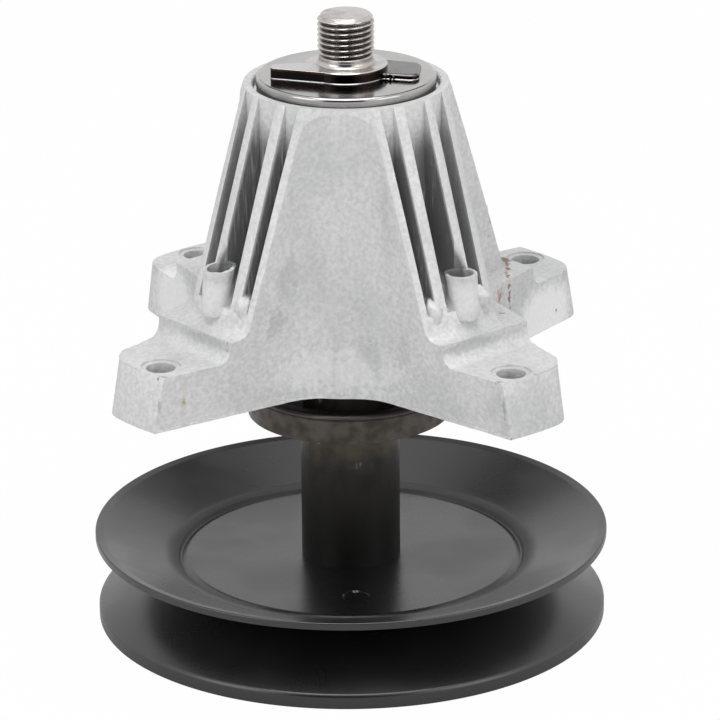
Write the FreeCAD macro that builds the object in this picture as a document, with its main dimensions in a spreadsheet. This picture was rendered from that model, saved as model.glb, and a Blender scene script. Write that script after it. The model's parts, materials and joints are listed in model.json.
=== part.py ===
import FreeCAD, Part
import math
import os
import Sketcher

# Mower deck spindle: a shaft in two ball bearings in a die-cast housing, with a V-belt pulley.
# The spindle axis is Z and z = 0 is the plane of the pulley's lower rim, on which the spindle stands.
# The blade thread points up and the smooth front panel of the housing faces -Y.
# Lengths are millimetres and angles are degrees. Heights named ..._z are measured from z = 0.

driving_sizes = {
    # pulley: two pressed sheet halves, back to back
    "pulley_sheet": 2.0,
    "pulley_web_z": 15.5,
    "upper_web_radius": 45.0,
    "upper_rim_radius": 66.0,
    "upper_flange_angle": 21.5,
    "upper_lip_width": 2.2,
    "upper_lip_angle": 13.0,
    "lower_web_radius": 48.0,
    "lower_rim_radius": 65.5,
    "lower_lip_z": 3.6,
    "pulley_bend": 3.5,
    "rim_bend": 1.4,
    "dimple_distance": 30.0,
    "dimple_radius": 3.5,
    "dimple_depth": 0.3,
    "dimple_angle": 4.5,
    # shaft, with the blade thread at the top and the pulley thread at the bottom
    "shaft_radius": 10.0,
    "thread_radius": 7.14,
    "blade_thread_reach": 12.7,
    "thread_end_chamfer": 1.8,
    "neck_radius": 6.8,
    "neck_length": 3.0,
    "pulley_end_z": 1.0,
    "pulley_end_chamfer": 1.2,
    "drive_radius": 8.4,
    "drive_flat": 6.9,
    "drive_overlap": 0.8,
    # blade seat: a round flange and two drive wings
    "seat_above_bearing": 3.5,
    "seat_radius": 10.4,
    "seat_thickness": 2.8,
    "high_wing_tip": 18.5,
    "high_wing_front": 5.9,
    "high_wing_back": 2.3,
    "high_wing_root": 0.6,
    "low_wing_thickness": 1.4,
    "low_wing_tip": 18.6,
    "low_wing_front": 6.4,
    "low_wing_back": 5.6,
    "low_wing_waist": 4.9,
    "wing_corner": 1.2,
    # deep-groove ball bearings
    "bearing_radius": 23.5,
    "bearing_width": 14.0,
    "ball_radius": 3.97,
    "ball_count": 8,
    "race_shoulder": 2.6,
    "race_clearance": 0.15,
    "cage_half_thickness": 1.1,
    "seal_thickness": 1.2,
    "seal_inset": 0.6,
    "seal_clearance": 0.3,
    "bearing_recess": 1.0,
    "bearing_spacing": 58.0,
    "spacer_radius": 13.5,
    "press_clearance": 0.02,
    # shields and sleeve
    "shield_gap": 0.9,
    "shield_thickness": 2.7,
    "shield_hub_radius": 13.4,
    "shield_edge": 0.9,
    "sleeve_radius": 12.7,
    "sleeve_shoulder": 0.7,
    "cup_radius": 26.05,
    "cup_drop": 12.9,
    "cup_height": 7.5,
    "cup_wall": 3.4,
    "cup_floor": 2.2,
    "cup_corner": 1.2,
    # flange nut under the pulley
    "nut_flats": 22.2,
    "nut_height": 9.6,
    "nut_flange_radius": 14.6,
    "nut_flange_thickness": 2.4,
    # housing casting
    "housing_bottom_z": 68.0,
    "rim_above_bearing": 1.5,
    "shelf_height": 18.8,
    "shelf_fillet": 4.0,
    "pad_height": 13.6,
    "tube_wall": 2.3,
    "slot_foot_width": 14.0,
    "slot_foot_rise": 7.0,
    "rim_chamfer": 0.4,
    "cone_angle": 17.6,
    "ear_radius": 70.0,
    "ear_draft": 14.0,
    "hole_to_ear_end": 8.9,
    "hole_radius": 3.7,
    "spotface_radius": 5.0,
    "spotface_depth": 0.5,
    "front_wall": 16.5,
    "front_wall_angle": 37.5,
    "panel_cover": 2.0,
    "panel_half_angle": 4.0,
    "front_panel_round": 14.0,
    "side_panel_round": 8.0,
    "panel_top_round": 2.0,
    "wall_draft": 1.3,
    "flange_side_wall": 28.9,
    "flange_side_angle": 31.3,
    "flange_side_apex": 9.0,
    "leg_side_wall": 18.2,
    "ear_corner": 8.0,
    "step_distance": 47.0,
    "step_fillet": 3.6,
    "rib_offset": 4.8,
    "rib_thickness": 2.9,
    "front_plate_inside": 10.3,
    "side_plate_inside": 11.6,
    "plate_taper": 0.045,
    "slot_floor_height": 24.5,
    "bore_shoulder": 3.1,
    "boss_radius": 3.2,
    "boss_flare": 3.6,
    "boss_height": 14.4,
    "boss_distance": 39.8,
    "boss_offset": 2.6,
    "boss_hole_radius": 3.4,
    "boss_hole_depth": 3.0,
    "core_inner": 32.0,
    "core_outer": 48.0,
    "core_half_width": 6.5,
    "core_depth": 11.0,
    "core_corner": 3.0,
}

doc = FreeCAD.newDocument("mower_deck_spindle")
sheet = doc.addObject("Spreadsheet::Sheet", "dims")
for row, (alias, number) in enumerate(driving_sizes.items(), 1):
    sheet.set(f"A{row}", alias)
    sheet.set(f"B{row}", str(number))
    sheet.setAlias(f"B{row}", alias)
doc.recompute()


class Size:
    # A length or angle that is worked out from the sheet: its formula, and its value at present.
    def __init__(self, text, value):
        self.text = text
        self.value = value

    def __add__(self, other):
        other = as_size(other)
        return Size(f"({self.text} + {other.text})", self.value + other.value)

    def __sub__(self, other):
        other = as_size(other)
        return Size(f"({self.text} - {other.text})", self.value - other.value)

    def __mul__(self, other):
        other = as_size(other)
        return Size(f"({self.text} * {other.text})", self.value * other.value)

    def __truediv__(self, other):
        other = as_size(other)
        return Size(f"({self.text} / {other.text})", self.value / other.value)

    def __neg__(self):
        return Size(f"(0 - {self.text})", -self.value)

    __radd__ = __add__
    __rmul__ = __mul__


def as_size(number):
    return number if isinstance(number, Size) else Size(f"({number})", float(number))


def sine(angle):
    angle = as_size(angle)
    return Size(f"sin({angle.text})", math.sin(math.radians(angle.value)))


def cosine(angle):
    angle = as_size(angle)
    return Size(f"cos({angle.text})", math.cos(math.radians(angle.value)))


def tangent(angle):
    return sine(angle) / cosine(angle)


def slope_angle(slope):
    return Size(f"(atan({slope.text}) / 1 deg)", math.degrees(math.atan(slope.value)))


def smaller(first, second):
    return Size(f"min({first.text}; {second.text})", min(first.value, second.value))


def dim(alias):
    return Size(f"dims.{alias}", float(getattr(sheet, alias)))


def bind(target, name, size):
    target.setExpression(name, as_size(size).text)


def origin_feature(body, role):
    return next(feature for feature in body.Origin.OriginFeatures if feature.Role == role)


def new_body(label):
    body = doc.addObject("PartDesign::Body", label)
    body.Label = label
    return body


def new_sketch(body, name, plane="XY_Plane", height=None):
    sketch = body.newObject("Sketcher::SketchObject", name)
    sketch.AttachmentSupport = [(origin_feature(body, plane), "")]
    sketch.MapMode = "FlatFace"
    if height is not None:
        bind(sketch, "AttachmentOffset.Base.z", height)
    return sketch


def drive(sketch, constraint, size):
    index = sketch.addConstraint(constraint)
    bind(sketch, f"Constraints[{index}]", size)


def place_point(sketch, geometry, position, x, y):
    drive(sketch, Sketcher.Constraint("DistanceX", -1, 1, geometry, position, x.value), x)
    drive(sketch, Sketcher.Constraint("DistanceY", -1, 1, geometry, position, y.value), y)


def round_corner(before, corner, after, radius):
    # Where the arc of this radius leaves one side of the corner and joins the other, and its centre.
    to_before = (before - corner).normalize()
    to_after = (after - corner).normalize()
    half = to_before.getAngle(to_after) / 2
    reach = radius / math.tan(half)
    bisector = (to_before + to_after).normalize()
    centre = corner + bisector * (radius / math.sin(half))
    return corner + to_before * reach, corner + to_after * reach, centre


def add_outline(sketch, corners):
    # A closed outline. Each corner is (x, y), or (x, y, radius) where it is rounded.
    sizes = [tuple(as_size(value) for value in corner) for corner in corners]
    points = [FreeCAD.Vector(corner[0].value, corner[1].value, 0) for corner in sizes]
    count = len(points)
    arrive, leave, centres = [], [], []
    for i, corner in enumerate(sizes):
        start, end, centre = points[i], points[i], None
        if len(corner) == 3:
            following = points[(i + 1) % count]
            start, end, centre = round_corner(points[i - 1], points[i], following, corner[2].value)
        arrive.append(start)
        leave.append(end)
        centres.append(centre)
    first = sketch.GeometryCount
    for i in range(count):
        sketch.addGeometry(Part.LineSegment(leave[i], arrive[(i + 1) % count]))
    for i, corner in enumerate(sizes):
        line_in = first + (i - 1) % count
        line_out = first + i
        if centres[i] is None:
            sketch.addConstraint(Sketcher.Constraint("Coincident", line_in, 2, line_out, 1))
            place_point(sketch, line_out, 1, corner[0], corner[1])
            continue
        spokes = [point - centres[i] for point in (arrive[i], leave[i])]
        ends = (1, 2)
        if spokes[0].cross(spokes[1]).z < 0:
            spokes.reverse()
            ends = (2, 1)
        angles = [math.atan2(spoke.y, spoke.x) for spoke in spokes]
        if angles[1] < angles[0]:
            angles[1] += 2 * math.pi
        circle = Part.Circle(centres[i], FreeCAD.Vector(0, 0, 1), corner[2].value)
        arc = sketch.addGeometry(Part.ArcOfCircle(circle, angles[0], angles[1]))
        mark = sketch.addGeometry(Part.Point(points[i]), True)
        sketch.addConstraint(Sketcher.Constraint("Tangent", line_in, 2, arc, ends[0]))
        sketch.addConstraint(Sketcher.Constraint("Tangent", arc, ends[1], line_out, 1))
        sketch.addConstraint(Sketcher.Constraint("PointOnObject", mark, 1, line_in))
        sketch.addConstraint(Sketcher.Constraint("PointOnObject", mark, 1, line_out))
        place_point(sketch, mark, 1, corner[0], corner[1])
        drive(sketch, Sketcher.Constraint("Radius", arc, corner[2].value), corner[2])


def add_circle(sketch, x, y, radius):
    x, y, radius = as_size(x), as_size(y), as_size(radius)
    centre = FreeCAD.Vector(x.value, y.value, 0)
    circle = sketch.addGeometry(Part.Circle(centre, FreeCAD.Vector(0, 0, 1), radius.value))
    place_point(sketch, circle, 3, x, y)
    drive(sketch, Sketcher.Constraint("Radius", circle, radius.value), radius)


def turn(body, name, corners, kind="Revolution"):
    # A turned form, or a turned cut: the outline is (radius, height) beside the spindle axis.
    sketch = new_sketch(body, name + "_outline", "XZ_Plane")
    add_outline(sketch, corners)
    feature = body.newObject("PartDesign::" + kind, name)
    feature.Profile = sketch
    feature.ReferenceAxis = (sketch, ["V_Axis"])
    feature.Angle = 360
    sketch.Visibility = False
    return feature


def extrude(body, name, height, length, draw, kind="Pad", down=False, draft=None):
    # Pads or cuts, from the level height, the outlines that draw puts into the sketch.
    sketch = new_sketch(body, name + "_outline", "XY_Plane", height)
    draw(sketch)
    feature = body.newObject("PartDesign::" + kind, name)
    feature.Profile = sketch
    bind(feature, "Length", length)
    feature.Reversed = down if kind == "Pad" else not down
    if draft is not None:
        bind(feature, "TaperAngle", draft)
    return feature


def loft_cut(body, name, low, draw_low, high, draw_high):
    # Cuts away what lies between an outline at the level low and a like one at the level high.
    sketches = []
    for level, height, draw in (("low", low, draw_low), ("high", high, draw_high)):
        sketch = new_sketch(body, f"{name}_{level}_outline", "XY_Plane", height)
        draw(sketch)
        sketches.append(sketch)
    feature = body.newObject("PartDesign::SubtractiveLoft", name)
    feature.Profile = sketches[0]
    feature.Sections = sketches[1:]
    feature.Ruled = True
    return feature


def fillet(body, name, chosen, radius):
    # Rounds the edges of the body so far for which chosen(edge) is true.
    doc.recompute()
    base = body.Tip
    edges = [f"Edge{i}" for i, edge in enumerate(base.Shape.Edges, 1) if chosen(edge)]
    feature = body.newObject("PartDesign::Fillet", name)
    feature.Base = (base, edges)
    bind(feature, "Radius", radius)
    return feature


def around(body, feature, count):
    # Repeats a feature evenly round the spindle axis.
    pattern = body.newObject("PartDesign::PolarPattern", feature.Name + "_pattern")
    pattern.Originals = [feature]
    pattern.Axis = (origin_feature(body, "Z_Axis"), [""])
    pattern.Angle = 360
    if isinstance(count, Size):
        bind(pattern, "Occurrences", count)
    else:
        pattern.Occurrences = count
    body.Tip = pattern
    return pattern


# Levels that several pieces share
housing_bottom_z = dim("housing_bottom_z")
pulley_bearing_z = housing_bottom_z + dim("bearing_recess")
pulley_bearing_top = pulley_bearing_z + dim("bearing_width")
blade_bearing_z = pulley_bearing_z + dim("bearing_spacing")
blade_bearing_top = blade_bearing_z + dim("bearing_width")
housing_top_z = blade_bearing_top + dim("rim_above_bearing")
seat_z = blade_bearing_top + dim("seat_above_bearing")
cup_z = housing_bottom_z - dim("cup_drop")
web_z = dim("pulley_web_z")
sheet_joint_z = web_z - dim("pulley_sheet")
web_under_z = sheet_joint_z - dim("pulley_sheet")
bore_on_shaft = dim("shaft_radius") + dim("press_clearance")
tube_radius = dim("bearing_radius") + dim("tube_wall")
front_left_and_right = (-1, 1)
wall_share = 0.9  # of a wall, at most, that a round beside it takes up


def housing_point(side, outward, across):
    # A point on a front leg, outward along its diagonal and across it towards the front panel.
    diagonal = cosine(45)
    return (outward - across) * diagonal * side, -((outward + across) * diagonal)


def make_housing():
    body = new_body("spindle_housing")
    bottom_z = housing_bottom_z
    top_z = housing_top_z
    shelf_z = bottom_z + dim("shelf_height")
    pad_z = bottom_z + dim("pad_height")
    slot_floor_z = bottom_z + dim("slot_floor_height")
    tube = tube_radius
    panel_radius = tube + dim("panel_cover")
    cone_foot = tube + (top_z - shelf_z) * tangent(dim("cone_angle"))
    ear_top = dim("ear_radius") - dim("shelf_height") * tangent(dim("ear_draft"))
    beyond = dim("ear_radius") * 2
    height = top_z - bottom_z
    turn(body, "casting_envelope", [
        (0, bottom_z), (dim("ear_radius"), bottom_z), (ear_top, shelf_z),
        (cone_foot, shelf_z, dim("shelf_fillet")), (tube, top_z), (0, top_z)])

    def rib_slots(sketch):
        # Three slots in each leg, drawn along its diagonal, leave two ribs between two plates.
        inner = tube / 2
        outer = dim("ear_radius")
        rib_in = dim("rib_offset") - dim("rib_thickness") / 2
        rib_out = dim("rib_offset") + dim("rib_thickness") / 2
        taper = dim("plate_taper") * (outer - inner)
        front_plate = dim("front_plate_inside")
        side_plate = dim("side_plate_inside")
        for turned in front_left_and_right:
            for near, far, far_out in (
                    (rib_out, front_plate, front_plate - taper),
                    (-rib_in, rib_in, rib_in),
                    (-rib_out, -side_plate, taper - side_plate)):
                corners = [(inner, near), (outer, near), (outer, far_out), (inner, far)]
                add_outline(sketch, [housing_point(turned, d, o) for d, o in corners])

    slots = extrude(body, "rib_slots", slot_floor_z, height, rib_slots, "Pocket")
    around(body, slots, 2)

    foot = tube + dim("slot_foot_width")
    turn(body, "slot_foot", [
        (0, bottom_z), (foot, bottom_z), (foot, slot_floor_z),
        (tube, slot_floor_z + dim("slot_foot_rise")), (tube, top_z), (0, top_z)])

    def notch(sketch, wall, angle, rounding, along_x, panel=None):
        # A V between two legs, whose walls lie at the distance wall from the axis. Its apex is rounded,
        # or it ends in a panel, an arc about the axis that runs into the walls with a round at each side.
        depth = wall / cosine(angle)
        spread = depth + beyond * tangent(angle)
        inner = [(0, -depth, rounding)]
        if panel is not None:
            bow = dim("panel_half_angle")
            crown = panel / cosine(bow)
            half = (crown - depth) / (tangent(angle) + tangent(bow))
            side = half * tangent(bow) - crown
            room = half / cosine(bow) - panel * tangent(bow)
            limit = room * wall_share / tangent((angle + bow) / 2)
            corner = smaller(rounding, limit)
            inner = [(-half, side, corner), (0, -crown, panel), (half, side, corner)]
        outer = [(beyond, -spread), (beyond, -beyond * 2), (-beyond, -beyond * 2), (-beyond, -spread)]
        corners = inner + outer
        if along_x:
            corners = [(-as_size(corner[1]), corner[0]) + corner[2:] for corner in corners]
        add_outline(sketch, corners)

    def panel_notch(wall, rounding, rise, along_x):
        # The wall and the panel lean inwards with height, by the casting draft.
        lean = rise * tangent(dim("wall_draft"))

        def draw(sketch):
            notch(sketch, wall - lean, dim("front_wall_angle"), rounding, along_x,
                  panel_radius - lean)
        return draw

    def flange_side_notch(sketch):
        notch(sketch, dim("flange_side_wall"), dim("flange_side_angle"), dim("flange_side_apex"), True)

    front = loft_cut(body, "front_notch",
                     bottom_z, panel_notch(dim("front_wall"), dim("front_panel_round"), as_size(0), False),
                     top_z, panel_notch(dim("front_wall"), dim("panel_top_round"), height, False))
    around(body, front, 2)
    side = extrude(body, "flange_side_notch", bottom_z, height, flange_side_notch, "Pocket")
    around(body, side, 2)

    def ear_side_edge(edge):
        # An upright edge at the end of an ear, on its left or right side.
        middle = edge.CenterOfMass
        upright = edge.BoundBox.ZLength > dim("pad_height").value
        outside = math.hypot(middle.x, middle.y) > cone_foot.value
        return upright and outside and abs(middle.x) > abs(middle.y)

    fillet(body, "ear_corners", ear_side_edge, dim("ear_corner"))
    leg_height = top_z - shelf_z
    leg = loft_cut(body, "leg_side_notch",
                   shelf_z, panel_notch(dim("leg_side_wall"), dim("side_panel_round"), as_size(0), True),
                   top_z, panel_notch(dim("leg_side_wall"), dim("panel_top_round"), leg_height, True))
    around(body, leg, 2)

    def ear_pads(sketch):
        for turned in front_left_and_right:
            corners = [(dim("step_distance"), -beyond), (dim("step_distance"), beyond), (beyond * 2, 0)]
            add_outline(sketch, [housing_point(turned, as_size(d), as_size(o)) for d, o in corners])

    pads = extrude(body, "ear_pads", pad_z, height, ear_pads, "Pocket")
    around(body, pads, 2)

    step = dim("shelf_height") - dim("pad_height")

    def step_foot(edge):
        # The inside edge where an ear pad meets the step up to the shelf.
        middle = edge.CenterOfMass
        along = (abs(middle.x) + abs(middle.y)) * cosine(45).value
        level = edge.BoundBox.ZLength < step.value / 2
        low = abs(middle.z - pad_z.value) < step.value / 2
        return level and low and abs(along - dim("step_distance").value) < dim("step_fillet").value

    fillet(body, "step_feet", step_foot, smaller(dim("step_fillet"), step * wall_share))

    turn(body, "bearing_tube", [(0, bottom_z), (tube, bottom_z), (tube, top_z), (0, top_z)])

    bore = dim("bearing_radius")
    shoulder = bore - dim("bore_shoulder")
    chamfer = dim("rim_chamfer")
    turn(body, "bearing_bores", [
        (0, bottom_z - chamfer), (bore + chamfer * 2, bottom_z - chamfer), (bore, bottom_z + chamfer),
        (bore, pulley_bearing_top),
        (shoulder, pulley_bearing_top), (shoulder, blade_bearing_z), (bore, blade_bearing_z),
        (bore, top_z - chamfer), (bore + chamfer * 2, top_z + chamfer), (0, top_z + chamfer)], "Groove")

    hole_offset = (dim("ear_radius") - dim("hole_to_ear_end")) * cosine(45)

    def mounting_holes(radius):
        def draw(sketch):
            for x in (-1, 1):
                for y in (-1, 1):
                    add_circle(sketch, hole_offset * x, hole_offset * y, radius)
        return draw

    extrude(body, "mounting_holes", bottom_z, height, mounting_holes(dim("hole_radius")), "Pocket")
    extrude(body, "spotfaces", pad_z - dim("spotface_depth"), height,
            mounting_holes(dim("spotface_radius")), "Pocket")

    def boss_circles(radius):
        def draw(sketch):
            for turned in front_left_and_right:
                x, y = housing_point(turned, dim("boss_distance"), -dim("boss_offset"))
                add_circle(sketch, x, y, radius)
                add_circle(sketch, -x, -y, radius)
        return draw

    extrude(body, "bosses", shelf_z, dim("boss_height"), boss_circles(dim("boss_radius")),
            draft=dim("boss_flare"))
    extrude(body, "boss_holes", shelf_z + dim("boss_height") - dim("boss_hole_depth"), height,
            boss_circles(dim("boss_hole_radius")), "Pocket")

    def cores(sketch):
        half = dim("core_half_width")
        corner = dim("core_corner")
        for turned in front_left_and_right:
            plan = [(dim("core_inner"), -half), (dim("core_outer"), -half),
                    (dim("core_outer"), half), (dim("core_inner"), half)]
            add_outline(sketch, [housing_point(turned, d, o) + (corner,) for d, o in plan])

    under = extrude(body, "underside_cores", bottom_z, dim("core_depth"), cores, "Pocket",
                    draft=-dim("wall_draft"))
    around(body, under, 2)
    return body


def make_shaft():
    body = new_body("spindle_shaft")
    thread = dim("thread_radius")
    seat_top = seat_z + dim("seat_thickness")
    neck_top = seat_top + dim("neck_length")
    end_z = seat_top + dim("blade_thread_reach")
    end_chamfer = dim("thread_end_chamfer")
    low_z = dim("pulley_end_z")
    low_chamfer = dim("pulley_end_chamfer")
    drive_z = web_under_z + dim("drive_overlap")
    drive_top = web_z + dim("drive_overlap")
    turn(body, "turned_shaft", [
        (0, low_z), (thread - low_chamfer, low_z), (thread, low_z + low_chamfer),
        (thread, drive_z), (dim("drive_radius"), drive_z), (dim("drive_radius"), drive_top),
        (dim("shaft_radius"), drive_top), (dim("shaft_radius"), seat_z),
        (dim("seat_radius"), seat_z), (dim("seat_radius"), seat_top),
        (dim("neck_radius"), seat_top), (dim("neck_radius"), neck_top), (thread, neck_top),
        (thread, end_z - end_chamfer), (thread - end_chamfer, end_z), (0, end_z)])

    def drive_flats(sketch):
        flat = dim("drive_flat")
        wide = dim("shaft_radius") * 2
        for side in (-1, 1):
            add_outline(sketch, [
                (flat * side, -wide), (wide * side, -wide), (wide * side, wide), (flat * side, wide)])

    extrude(body, "drive_flats", drive_z, drive_top - drive_z, drive_flats, "Pocket")

    corner = dim("wing_corner")

    def high_wing(sketch):
        tip = dim("high_wing_tip")
        add_outline(sketch, [
            (0, -dim("seat_radius")), (-tip, -dim("high_wing_front"), corner),
            (-tip, -dim("high_wing_back"), corner), (-dim("seat_radius"), -dim("high_wing_root")), (0, 0)])

    def low_wing(sketch):
        tip = dim("low_wing_tip")
        add_outline(sketch, [
            (0, -dim("low_wing_waist")), (dim("seat_radius"), -dim("low_wing_waist")),
            (tip, -dim("low_wing_front"), corner), (tip, dim("low_wing_back"), corner),
            (0, dim("seat_radius"))])

    extrude(body, "high_wing", seat_z, dim("seat_thickness"), high_wing)
    extrude(body, "low_wing", seat_z, dim("low_wing_thickness"), low_wing)
    return body


def make_blade_side_shield():
    body = new_body("blade_side_shield")
    disc_z = seat_z - dim("shield_thickness")
    radius = dim("bearing_radius") - dim("shield_gap")
    turn(body, "turned_shield", [
        (bore_on_shaft, blade_bearing_top), (dim("shield_hub_radius"), blade_bearing_top),
        (dim("shield_hub_radius"), disc_z), (radius, disc_z),
        (radius, seat_z, dim("shield_edge")), (bore_on_shaft, seat_z)])
    return body


def make_sleeve():
    body = new_body("pulley_spacer_sleeve")
    outer = dim("sleeve_radius")
    spigot = outer - dim("sleeve_shoulder")
    turn(body, "turned_sleeve", [
        (bore_on_shaft, web_z), (outer, web_z), (outer, cup_z), (spigot, cup_z),
        (spigot, pulley_bearing_z), (bore_on_shaft, pulley_bearing_z)])
    return body


def make_pulley_side_shield():
    body = new_body("pulley_side_shield")
    inner = dim("sleeve_radius") - dim("sleeve_shoulder") + dim("press_clearance")
    outer = dim("cup_radius")
    wall = outer - dim("cup_wall")
    floor_z = cup_z + dim("cup_floor")
    rim_z = cup_z + dim("cup_height")
    turn(body, "turned_cup", [
        (inner, cup_z), (outer, cup_z), (outer, rim_z, dim("cup_corner")),
        (wall, rim_z), (wall, floor_z, dim("cup_corner")), (inner, floor_z)])
    return body


def make_spacer_tube():
    body = new_body("bearing_spacer_tube")
    turn(body, "turned_tube", [
        (bore_on_shaft, pulley_bearing_top), (dim("spacer_radius"), pulley_bearing_top),
        (dim("spacer_radius"), blade_bearing_z), (bore_on_shaft, blade_bearing_z)])
    return body


def cut_drive_hole(body, level, depth):
    # The two-flat hole in a pulley web, which the flats of the shaft drive.
    gap = dim("press_clearance")
    radius = dim("drive_radius") + gap
    half = dim("drive_flat") + gap

    def hole(sketch):
        # Two flats joined by arcs of the drive radius about the axis.
        ends = math.sqrt(radius.value ** 2 - half.value ** 2)
        angle = math.atan2(ends, half.value)
        circle = Part.Circle(FreeCAD.Vector(0, 0, 0), FreeCAD.Vector(0, 0, 1), radius.value)
        right = sketch.addGeometry(Part.LineSegment(
            FreeCAD.Vector(half.value, -ends, 0), FreeCAD.Vector(half.value, ends, 0)))
        back = sketch.addGeometry(Part.ArcOfCircle(circle, angle, math.pi - angle))
        left = sketch.addGeometry(Part.LineSegment(
            FreeCAD.Vector(-half.value, ends, 0), FreeCAD.Vector(-half.value, -ends, 0)))
        front = sketch.addGeometry(Part.ArcOfCircle(circle, math.pi + angle, 2 * math.pi - angle))
        ring = (right, back, left, front)
        for here, following in zip(ring, ring[1:] + ring[:1]):
            sketch.addConstraint(Sketcher.Constraint("Coincident", here, 2, following, 1))
        for arc in (back, front):
            sketch.addConstraint(Sketcher.Constraint("Coincident", arc, 3, -1, 1))
        for line in (right, left):
            sketch.addConstraint(Sketcher.Constraint("Vertical", line))
        drive(sketch, Sketcher.Constraint("Radius", back, radius.value), radius)
        drive(sketch, Sketcher.Constraint("DistanceX", -1, 1, right, 1, half.value), half)
        drive(sketch, Sketcher.Constraint("DistanceX", left, 1, -1, 1, half.value), half)

    extrude(body, "drive_hole", level, depth, hole, "Pocket")


def make_pulley_upper_half():
    body = new_body("pulley_upper_half")
    thick = dim("pulley_sheet")
    web = dim("upper_web_radius")
    rim = dim("upper_rim_radius")
    lip = rim - dim("upper_lip_width")
    lip_z = web_z + (lip - web) * tangent(dim("upper_flange_angle"))
    rim_z = lip_z + dim("upper_lip_width") * tangent(dim("upper_lip_angle"))
    bend = dim("pulley_bend")
    turn(body, "pressed_sheet", [
        (0, web_z), (web, web_z, bend), (lip, lip_z, bend), (rim, rim_z),
        (rim, rim_z - thick), (lip, lip_z - thick, bend), (web, web_z - thick, bend), (0, web_z - thick)])
    cut_drive_hole(body, sheet_joint_z, thick)

    def dimple(sketch):
        angle = dim("dimple_angle")
        distance = dim("dimple_distance")
        add_circle(sketch, distance * sine(angle), -(distance * cosine(angle)), dim("dimple_radius"))

    extrude(body, "dimple", web_z, dim("dimple_depth"), dimple, "Pocket", down=True)
    return body


def make_pulley_lower_half():
    body = new_body("pulley_lower_half")
    thick = dim("pulley_sheet")
    web = dim("lower_web_radius")
    rim = dim("lower_rim_radius")
    lip_z = dim("lower_lip_z")
    angle = slope_angle((sheet_joint_z - lip_z) / (rim - web))
    inner_web = web - thick * tangent(angle / 2)
    inner_lip_z = lip_z - thick * tangent((90 + -angle) / 2)
    bend = dim("pulley_bend")
    inner_bend = dim("rim_bend")
    turn(body, "pressed_sheet", [
        (0, sheet_joint_z), (web, sheet_joint_z, bend), (rim, lip_z, inner_bend + thick), (rim, 0),
        (rim - thick, 0), (rim - thick, inner_lip_z, inner_bend), (inner_web, web_under_z, bend),
        (0, web_under_z)])
    cut_drive_hole(body, web_under_z, thick)
    return body


def make_pulley_nut():
    body = new_body("pulley_nut")
    half = dim("nut_flange_thickness") / 2
    edge_z = web_under_z - half
    cone_z = edge_z - half * 2
    foot_z = web_under_z - dim("nut_height")
    turn(body, "nut_flange", [
        (0, cone_z), (dim("nut_flats") / 2, cone_z), (dim("nut_flange_radius"), edge_z),
        (dim("nut_flange_radius"), web_under_z), (0, web_under_z)])

    def hexagon(sketch):
        across = dim("nut_flats") / (2 * cosine(30))
        add_outline(sketch, [(across * cosine(60 * i), across * sine(60 * i)) for i in range(6)])

    def thread_hole(sketch):
        add_circle(sketch, 0, 0, dim("thread_radius") + dim("press_clearance"))

    extrude(body, "nut_hexagon", foot_z, dim("nut_height") - dim("nut_flange_thickness"), hexagon)
    extrude(body, "thread_hole", foot_z, dim("nut_height"), thread_hole, "Pocket")
    return body


def make_bearing(place, base_z):
    # One deep-groove ball bearing: two rings, the balls and their cage, and a seal at each face.
    width = dim("bearing_width")
    top_z = base_z + width
    middle_z = base_z + width / 2
    circle = (dim("shaft_radius") + dim("bearing_radius")) / 2
    ball = dim("ball_radius")
    race = ball + dim("race_clearance")
    shoulder = dim("race_shoulder")
    outer_in = circle + shoulder
    inner_out = circle - shoulder
    outside = dim("bearing_radius") - dim("press_clearance")

    def groove(body):
        sketch = new_sketch(body, "ball_groove_outline", "XZ_Plane")
        add_circle(sketch, circle, middle_z, race)
        feature = body.newObject("PartDesign::Groove", "ball_groove")
        feature.Profile = sketch
        feature.ReferenceAxis = (sketch, ["V_Axis"])
        feature.Angle = 360

    outer = new_body(place + "_outer_ring")
    turn(outer, "turned_ring", [(outer_in, base_z), (outside, base_z), (outside, top_z), (outer_in, top_z)])
    groove(outer)
    inner = new_body(place + "_inner_ring")
    turn(inner, "turned_ring", [
        (bore_on_shaft, base_z), (inner_out, base_z), (inner_out, top_z), (bore_on_shaft, top_z)])
    groove(inner)

    spheres = []
    for i in range(int(sheet.ball_count)):
        sphere = doc.addObject("Part::Sphere", f"{place}_ball_{i}")
        angle = Size(f"(360 * {i} / dims.ball_count)", 360 * i / sheet.ball_count)
        bind(sphere, "Radius", ball)
        bind(sphere, "Placement.Base.x", circle * cosine(angle))
        bind(sphere, "Placement.Base.y", circle * sine(angle))
        bind(sphere, "Placement.Base.z", middle_z)
        spheres.append(sphere)
    balls = doc.addObject("Part::Compound", place + "_balls")
    balls.Label = place + "_balls"
    balls.Links = spheres

    cage = new_body(place + "_cage")
    inset = dim("seal_inset")
    thick = dim("seal_thickness")
    half = (race + width / 2 - inset - thick) / 2
    thin = dim("cage_half_thickness")
    turn(cage, "turned_ring", [
        (circle - thin, middle_z - half), (circle + thin, middle_z - half),
        (circle + thin, middle_z + half), (circle - thin, middle_z + half)])
    pocket_outline = new_sketch(cage, "ball_pocket_outline", "YZ_Plane")
    add_circle(pocket_outline, 0, middle_z, race)
    pocket = cage.newObject("PartDesign::Pocket", "ball_pocket")
    pocket.Profile = pocket_outline
    pocket.Reversed = True
    bind(pocket, "Length", circle * 2)
    around(cage, pocket, dim("ball_count"))

    seals = []
    for face, seal_z in (("lower", base_z + inset), ("upper", top_z - inset - thick)):
        seal = new_body(f"{place}_{face}_seal")
        turn(seal, "moulded_seal", [
            (inner_out + dim("seal_clearance"), seal_z), (outer_in, seal_z),
            (outer_in, seal_z + thick), (inner_out + dim("seal_clearance"), seal_z + thick)])
        seals.append(seal)
    return [outer, inner, balls, cage] + seals


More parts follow.
